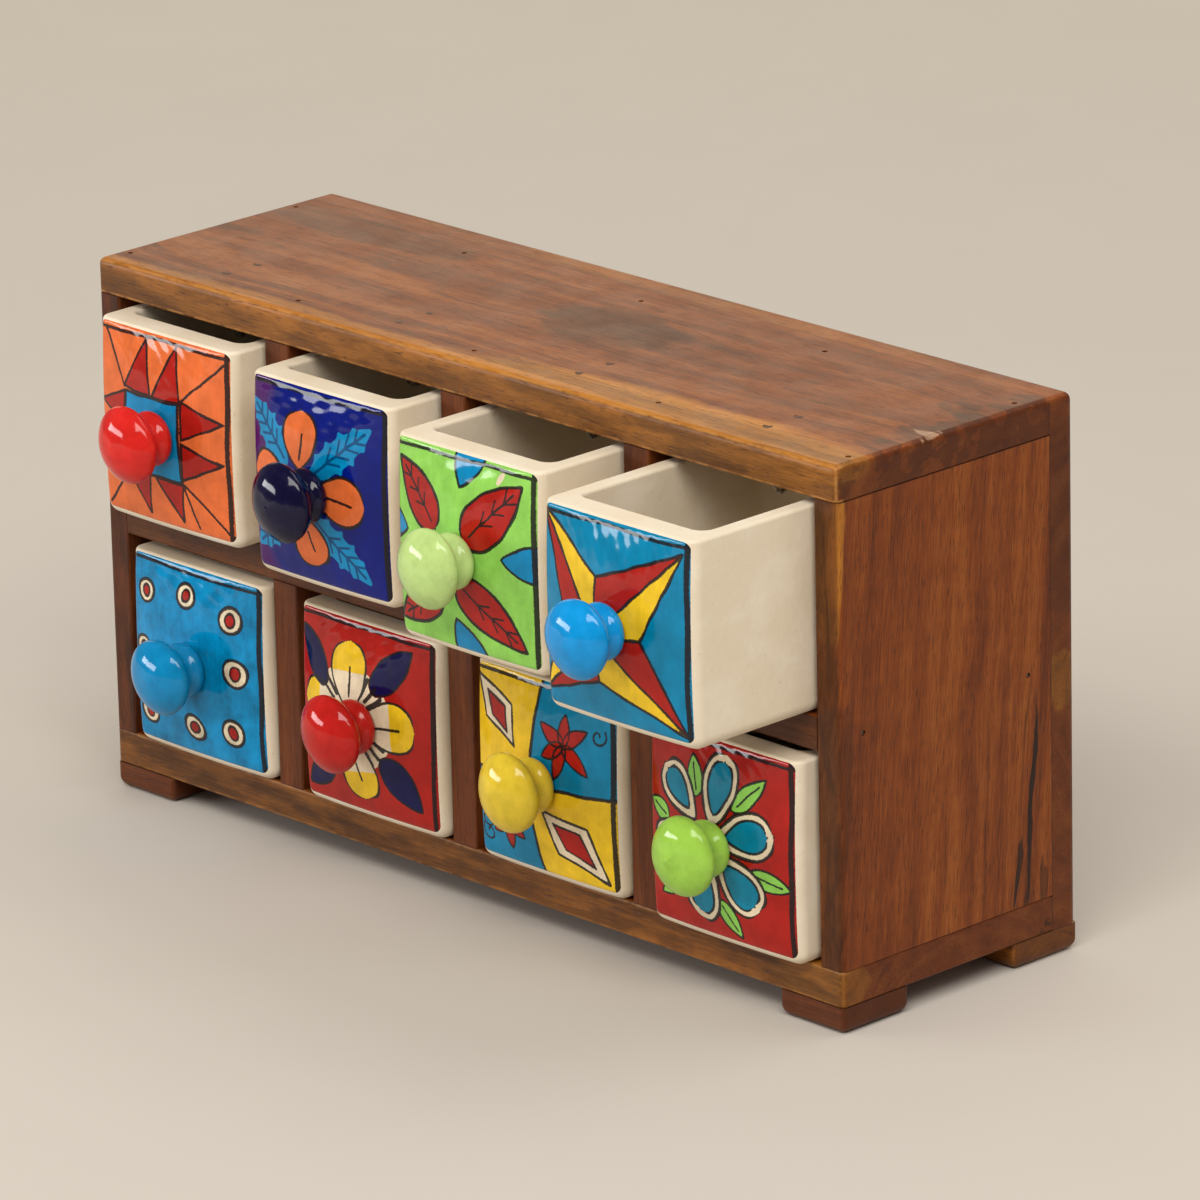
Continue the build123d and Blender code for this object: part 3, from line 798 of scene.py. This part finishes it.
front_depth = face_depth()
skin_faces = grid_faces(skin_points, skin_points, False)
order = np.arange(skin_points ** 2).reshape(skin_points, skin_points)
rim_loop = np.concatenate((order[0, :-1], order[:-1, -1], order[-1, :0:-1], order[:0:-1, 0]))
back_point = skin_points ** 2
skin_faces += [(int(b), int(a), back_point) for a, b in zip(rim_loop, np.roll(rim_loop, -1))]
designs = (sunburst, blue_flower, red_leaves, split_star, ringed_dots, yellow_flower, quarters, teal_flower)
for number, design in enumerate(designs, 1):
    low, high = box_mm(f"drawer_{number}_box")
    centre = (low + high) / 2
    rim_plane = high[1] - drawer_length
    ground, layers, ink = design()
    ripple = ripple_height * waves(face_x, face_z, (6.5, 9, 13, 19), 1.7 * number)
    near_head = np.clip((face_z - head_start) / head_start, 0, 1)
    ripple += head_ripple_height * waves(face_x, face_z, (4, 5.5, 7), 0.9 * number) * near_head
    lift = (glaze_thickness + glaze_tuck) * (1 - np.exp(-to_rim / glaze_roll)) - glaze_tuck
    y = rim_plane + front_depth - lift - ripple * np.clip(to_rim / 2, 0, 1)
    skin = np.stack((centre[0] + face_x, y, centre[2] + face_z), -1)
    behind = np.array(((centre[0], rim_plane + skin_back, centre[2]),))
    paint = {f"paint_{i}": np.append(distance, off_paint) for i, (_, distance) in enumerate(layers)}
    paint["ink"] = np.append(union(ink, border_line(number)), off_paint)
    finish = glaze_finish(f"glaze_{number}_{design.__name__}", ground, [label for label, _ in layers],
                          washed_mottle if design is ringed_dots else even_mottle)
    piece(f"drawer_{number}_glaze", np.concatenate((skin, behind)), skin_faces, finish, f"drawer_{number}",
          "painted_glaze", **paint)

# Knobs: ceramic mushrooms, thrown by hand and dipped in one glaze each, so no two are quite round. The foot
# shows as a thin dark brown ring where it meets the face, and each knob is held by a steel stud from inside.
knob_dome = 16.5
knob_edge = 2.6
knob_neck = 3.2
knob_foot = 8.9
knob_bead = 2.6
knob_recess = 5.0
recess_depth = 0.5
knob_specular = 0.32
knob_columns = 96
oval_share = 0.022
lobe_share = 0.012
slight_dent = 0.35
deep_dent = 1.1
dented_knob = 8
foot_ring_brown = (0.230, 0.120, 0.060)
knob_glazes = (
    ("red_glaze", (0.560, 0.014, 0.010)), ("navy_glaze", (0.002, 0.001, 0.022)),
    ("light_green_glaze", (0.430, 0.590, 0.200)), ("blue_glaze", (0.001, 0.250, 0.600)),
    ("blue_glaze", (0.001, 0.200, 0.430)), ("red_glaze", (0.440, 0.010, 0.007)),
    ("yellow_glaze", (0.660, 0.475, 0.030)), ("lime_glaze", (0.295, 0.535, 0.065)),
)


def arc(centre, radius, start, end, count):
    """Points of a circle between two angles, counted from the outward radius towards the crown."""
    angle = np.linspace(start, end, count)
    return np.stack((centre[0] + radius * np.cos(angle), centre[1] + radius * np.sin(angle)), -1)


def knob_profile(radius, length):
    """Radius and height from crown to foot: dome, rounded edge, waist and foot bead, each arc touching the
    next, then the flat foot and the recess under it."""
    dome = np.array((0.0, length - knob_dome))
    reach = knob_dome - knob_edge
    edge_out = radius - knob_edge
    edge = np.array((edge_out, dome[1] + np.sqrt(reach ** 2 - edge_out ** 2)))
    bead = np.array((knob_foot - knob_bead, knob_bead))
    span_line = edge - bead
    gap = np.linalg.norm(span_line)
    from_bead, from_edge = knob_bead + knob_neck, knob_edge + knob_neck
    along = (gap ** 2 + from_bead ** 2 - from_edge ** 2) / (2 * gap)
    aside = np.sqrt(from_bead ** 2 - along ** 2)
    line = span_line / gap
    waist = bead + line * along + np.array((line[1], -line[0])) * aside
    shoulder = np.arctan2(*(edge - dome)[::-1])
    under = np.arctan2(*(waist - edge)[::-1])
    ankle = np.arctan2(*(waist - bead)[::-1])
    hollow_top = np.arctan2(*(edge - waist)[::-1])
    hollow_foot = np.arctan2(*(bead - waist)[::-1]) + 2 * np.pi
    return np.concatenate((
        arc(dome, knob_dome, np.pi / 2 - 0.02, shoulder, 26)[:-1],
        arc(edge, knob_edge, shoulder, under, 30)[:-1],
        arc(waist, knob_neck, hollow_top, hollow_foot, 12)[:-1],
        arc(bead, knob_bead, ankle, -np.pi / 2, 16),
        ((knob_recess, 0.0), (knob_recess, recess_depth)),
    ))


def rear_middle(low, high):
    """Middle of the rear face of a box, where a turned piece starts."""
    return np.array(((low[0] + high[0]) / 2, high[1], (low[2] + high[2]) / 2))


def turned(profile, columns, centre, uneven):
    """A profile of radius and height carried round the Y axis, its radius and height uneven with the angle,
    closed by a point at each end. Height runs towards -Y from the centre."""
    angle = np.linspace(2 * np.pi, 0, columns, endpoint=False)[None, :]
    radius, height = profile[:, :1], profile[:, 1:]
    swell, dip = uneven(radius, height, angle)
    radius, height = radius * swell, height + dip
    around = np.stack((radius * np.cos(angle), -height + 0 * angle, radius * np.sin(angle)), -1)
    poles = np.array(((0, -height[0].mean() - 0.001, 0), (0, -height[-1].mean(), 0)))
    points = np.concatenate((around.reshape(-1, 3), poles)) + centre
    faces = grid_faces(len(profile), columns, True)
    ring = np.arange(columns)
    beside = np.roll(ring, -1)
    last = (len(profile) - 1) * columns
    faces += [(int(b), int(a), last + columns) for a, b in zip(ring, beside)]
    faces += [(int(last + a), int(last + b), last + columns + 1) for a, b in zip(ring, beside)]
    return points, faces


def knob_finish(name, glaze):
    """One opaque glaze, paler in brushed patches, with tiny bubbles; a thin dark brown ring at the foot."""
    finish = Finish(name)
    place = finish.place()
    cloud = finish.noise(place, 5, 2.0, 4.0, 0.6)
    bubbles = finish.ease(finish.noise(place, 0.45, 4.0, 1.0), 0.72, 0.80)
    deep = tuple(0.86 * c for c in glaze)
    pale = tuple(min(1.0, 1.07 * c + 0.004) for c in glaze)
    colour = finish.ramp(cloud, ((0.32, deep), (0.52, glaze), (0.70, pale)))
    colour = finish.mix(finish.maths("MULTIPLY", bubbles, 0.16), colour, tuple(0.4 * c for c in glaze))
    rise = finish.node("Attribute", {}, "Fac", attribute_name="rise")
    rise = finish.maths("MULTIPLY_ADD", cloud, 0.9, finish.maths("SUBTRACT", rise, 0.45))
    # A thin dark brown ring at the foot, where the knob meets the face.
    colour = finish.mix(finish.ease(rise, 0.85, 0.45), colour, foot_ring_brown)
    ripples = finish.noise(place, 3.2, 6.0, 2.0)
    finish.shade(base_color=colour, roughness=glaze_rough, specular_ior_level=knob_specular,
                 normal=finish.bump(ripples, 0.10, 0.45))
    return finish


def hand_thrown(number):
    """Unevenness of one knob, growing from the waist up: a slightly oval head with a dip in its crown."""
    dent = deep_dent if number == dented_knob else slight_dent

    def uneven(radius, height, angle):
        up = np.clip((height - 5) / 8, 0, 1)
        lobes = lobe_share * np.cos(3 * angle + number)
        swell = 1 + up * (oval_share * np.cos(2 * angle + 1.3 * number) + lobes)
        dip = -up * dent * np.exp(-((radius - 3) ** 2) / 18) * (0.6 + 0.4 * np.cos(angle - 0.8 * number))
        return swell, dip

    return uneven


for number, (slot, glaze) in enumerate(knob_glazes, 1):
    low, high = box_mm(f"drawer_{number}_knob")
    foot_centre = rear_middle(low, high)
    profile = knob_profile((high[0] - low[0]) / 2, high[1] - low[1])
    points, faces = turned(profile, knob_columns, foot_centre, hand_thrown(number))
    knob = piece(f"drawer_{number}_turned_knob", points, faces, knob_finish(f"knob_{number}_glaze", glaze),
                 f"drawer_{number}", slot, rise=foot_centre[1] - points[:, 1])
    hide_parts(f"drawer_{number}_knob")

# Knob fixings: a zinc-plated threaded stud through each drawer front, with a flat washer and a hexagon nut
# drawn up tight inside the drawer.
zinc = (0.66, 0.64, 0.58)
zinc_dull = (0.40, 0.38, 0.33)
thread_pitch = 0.7
thread_depth = 0.38
thread_columns = 28
points_per_turn = 6
end_taper = 0.5


def threaded(length):
    """A screw thread: the radius falls and rises in a sharp wave along a helix, and tapers at both ends."""
    def uneven(radius, height, angle):
        turn = np.mod(height / thread_pitch - angle / (2 * np.pi), 1.0)
        groove = thread_depth * np.abs(2 * turn - 1)
        taper = end_taper * np.clip(1 - np.minimum(height, length - height) / end_taper, 0, 1)
        return 1 - (groove + taper) / radius, 0.0

    return uneven


plated = bright_steel("zinc_plate", zinc_dull, zinc, 0.30)
for number in range(1, 9):
    dress(f"drawer_{number}_washer", plated)
    dress(f"drawer_{number}_nut", plated)
    low, high = box_mm(f"drawer_{number}_stud")
    length = high[1] - low[1]
    height = np.linspace(length, 0, int(length / thread_pitch * points_per_turn))
    profile = np.stack((np.full(height.shape, (high[0] - low[0]) / 2), height), -1)
    points, faces = turned(profile, thread_columns, rear_middle(low, high), threaded(length))
    stud = piece(f"drawer_{number}_threaded_stud", points, faces, plated, f"drawer_{number}",
                 "steel_hardware")
    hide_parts(f"drawer_{number}_stud")

# Floor and light: a plain pale floor, a wide soft key panel from the upper right and a softer one over the
# back, a low strip at the left that shows in the glaze, and a warm panel behind whose sheen lies on the top
# board. An even pale surround fills the shadows; it is dimmer in reflections.
floor_colour = (0.520, 0.475, 0.420)
surround = (0.800, 0.770, 0.720)
surround_light = 0.55
surround_seen = 0.62
surround_mirrored = 0.26
floor_half = 6.0


def floor_plane():
    """A square about the origin at the height of the feet."""
    corner = np.array(((-1, -1), (1, -1), (1, 1), (-1, 1))) * floor_half
    mesh = bpy.data.meshes.new("floor")
    mesh.from_pydata([(x, y, 0.0) for x, y in corner.tolist()], [], [(0, 1, 2, 3)])
    finish = Finish("pale_floor")
    grain = finish.noise(finish.place(), 60, 0.0, 3.0)
    pale = tuple(1.04 * c for c in floor_colour)
    finish.shade(base_color=finish.mix(grain, floor_colour, pale), roughness=0.85)
    mesh.materials.append(finish.material)
    made = bpy.data.objects.new("floor", mesh)
    bpy.context.scene.collection.objects.link(made)


def stand(thing, side, up, back, place):
    """Links a lamp or a camera into the scene at a place in metres, its axes along three directions."""
    axes = np.column_stack((side, up, back, place))
    thing.matrix_world = Matrix(np.vstack((axes, (0, 0, 0, 1))).tolist())
    bpy.context.scene.collection.objects.link(thing)


def panel_light(name, place, target, width, height, power, colour):
    """A lamp of a width and a height that looks from a place at a target, all in metres."""
    lamp = bpy.data.lights.new(name, "AREA")
    lamp.shape = "RECTANGLE"
    lamp.size = width
    lamp.size_y = height
    lamp.energy = power
    lamp.color = colour
    toward = np.array(place, float) - np.array(target, float)
    back = toward / np.linalg.norm(toward)
    side = np.cross((0, 0, 1), back)
    side /= np.linalg.norm(side)
    stand(bpy.data.objects.new(name, lamp), side, np.cross(back, side), back, place)


floor_plane()
chest_middle = (0.0, 0.03, 0.09)
panel_light("key_panel", (1.1, -1.25, 1.9), chest_middle, 2.4, 0.8, 54.0, (1.0, 0.97, 0.93))
panel_light("left_strip", (-1.2, -1.25, 0.42), chest_middle, 1.2, 0.28, 13.0, (0.98, 0.99, 1.0))
panel_light("top_panel", (0.5, 0.9, 1.9), chest_middle, 1.4, 1.0, 9.0, (1.0, 0.98, 0.95))
panel_light("back_sheen", (-1.55, 1.5, 0.85), chest_middle, 2.4, 1.1, 11.0, (1.0, 0.86, 0.62))
world = bpy.data.worlds.new("surround")
world.use_nodes = True
bpy.context.scene.world = world
nodes = world.node_tree.nodes
links = world.node_tree.links
background = nodes["Background"]
background.inputs["Color"].default_value = (*surround, 1)
path = nodes.new("ShaderNodeLightPath")
strength = nodes.new("ShaderNodeValue").outputs[0]
strength.default_value = surround_light
for ray, level in (("Is Camera Ray", surround_seen), ("Is Glossy Ray", surround_mirrored)):
    step = nodes.new("ShaderNodeMath")
    step.operation = "MULTIPLY_ADD"
    links.new(path.outputs[ray], step.inputs[0])
    step.inputs[1].default_value = level - surround_light
    links.new(strength, step.inputs[2])
    strength = step.outputs[0]
links.new(strength, background.inputs["Strength"])

# Camera: a long lens far back, as the photograph was taken: from the chest's right front corner, above the
# top board and held a little off level.
lens_mm = 266.2
sensor_mm = 36.0
camera_place = np.array((1.910341, -1.770251, 0.966190))
look_azimuth = np.radians(-46.4564)
look_down = np.radians(18.4749)
roll = np.radians(-1.3420)
forward = np.array((np.sin(look_azimuth) * np.cos(look_down), np.cos(look_azimuth) * np.cos(look_down),
                    -np.sin(look_down)))
level = np.array((np.cos(look_azimuth), -np.sin(look_azimuth), 0.0))
upward = np.cross(level, forward)
right = np.cos(roll) * level + np.sin(roll) * upward
above = np.cos(roll) * upward - np.sin(roll) * level
lens = bpy.data.cameras.new("camera")
lens.lens = lens_mm
lens.sensor_width = sensor_mm
lens.sensor_fit = "HORIZONTAL"
lens.clip_end = 50.0
camera = bpy.data.objects.new("camera", lens)
stand(camera, right, above, -forward, camera_place)
bpy.context.scene.camera = camera
bpy.context.scene.view_settings.view_transform = "Standard"
